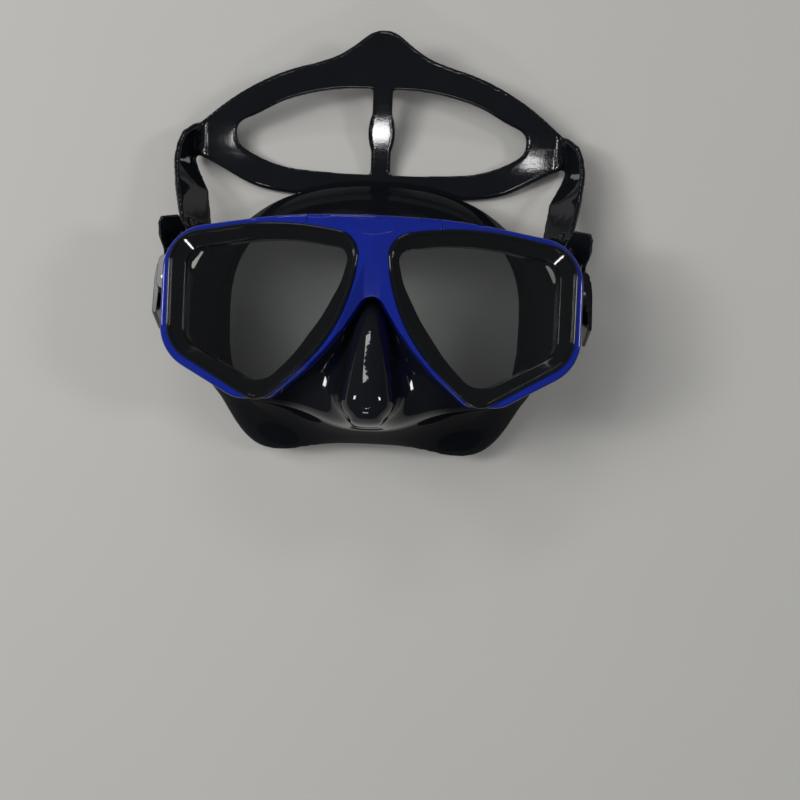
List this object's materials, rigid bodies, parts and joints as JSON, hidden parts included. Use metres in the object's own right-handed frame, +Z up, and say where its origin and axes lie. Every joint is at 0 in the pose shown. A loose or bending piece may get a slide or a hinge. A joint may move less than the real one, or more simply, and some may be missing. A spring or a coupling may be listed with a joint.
{
  "type": "snorkel mask",
  "caption": "Twin-lens snorkel mask with blue front frame, black silicone skirt and nose pocket, split-back strap and swivel buckles.",
  "frame": {"origin": "under the middle of the mask with its strap folded forward, on the surface it lies on", "axes": "+X to the right of the mask as it lies, +Y towards the forehead and the strap's back panel, +Z up out of the lenses"},
  "size_m": [0.174, 0.1745, 0.0728],
  "materials": {
    "blue_plastic": "clear-coated saturated blue, mirror gloss",
    "black_plastic": "polished black",
    "grey_plastic": "satin dark grey",
    "silicone": "smooth glossy black silicone",
    "glass": "clear tempered glass",
    "steel": "plain stainless"
  },
  "bodies": {
    "mask": {"front_frame": "blue_plastic", "rear_frame": "black_plastic", "lens_rim_left": "black_plastic", "lens_rim_right": "black_plastic", "lens_left": "glass", "lens_right": "glass", "skirt": "silicone", "swivel_screw_left": "steel", "swivel_screw_right": "steel"},
    "strap": {"strap": "silicone"},
    "buckle_left": {"buckle_body_left": "black_plastic", "roller_pin_left": "steel", "lever_pin_left": "steel", "lever_spring_left": "steel"},
    "roller_left": {"strap_roller_left": "grey_plastic"},
    "lever_left": {"release_lever_left": "grey_plastic"},
    "buckle_right": {"buckle_body_right": "black_plastic", "roller_pin_right": "steel", "lever_pin_right": "steel", "lever_spring_right": "steel"},
    "roller_right": {"strap_roller_right": "grey_plastic"},
    "lever_right": {"release_lever_right": "grey_plastic"}
  },
  "joints": [
    {"name": "strap_swing", "type": "hinge", "parent": "mask", "child": "strap", "pos_m": [0, -0.0275, 0.035], "axis": [1, 0, 0], "range_deg": [-85, 4]},
    {"name": "buckle_left_swivel", "type": "hinge", "parent": "mask", "child": "buckle_left", "pos_m": [-0.079, -0.0275, 0.035], "axis": [1, 0, 0], "range_deg": [-85, 4]},
    {"name": "roller_left_spin", "type": "hinge", "parent": "buckle_left", "child": "roller_left", "pos_m": [-0.08115, -0.01528, 0.03055], "axis": [0, 0.342, 0.9397], "continuous": true},
    {"name": "lever_left_release", "type": "hinge", "parent": "buckle_left", "child": "lever_left", "pos_m": [-0.08328, -0.02205, 0.03302], "axis": [0, 0.342, 0.9397], "range_deg": [0, 7], "stiffness_Nm_per_rad": 0.01, "springref_deg": -5.73},
    {"name": "buckle_right_swivel", "type": "hinge", "parent": "mask", "child": "buckle_right", "pos_m": [0.079, -0.0275, 0.035], "axis": [1, 0, 0], "range_deg": [-85, 4]},
    {"name": "roller_right_spin", "type": "hinge", "parent": "buckle_right", "child": "roller_right", "pos_m": [0.08115, -0.01528, 0.03055], "axis": [0, 0.342, 0.9397], "continuous": true},
    {"name": "lever_right_release", "type": "hinge", "parent": "buckle_right", "child": "lever_right", "pos_m": [0.08328, -0.02205, 0.03302], "axis": [0, -0.342, -0.9397], "range_deg": [0, 7], "stiffness_Nm_per_rad": 0.01, "springref_deg": -5.73}
  ],
  "couplings": [
    {"joint": "buckle_left_swivel", "follows": "strap_swing", "ratio": 1},
    {"joint": "buckle_right_swivel", "follows": "strap_swing", "ratio": 1}
  ]
}
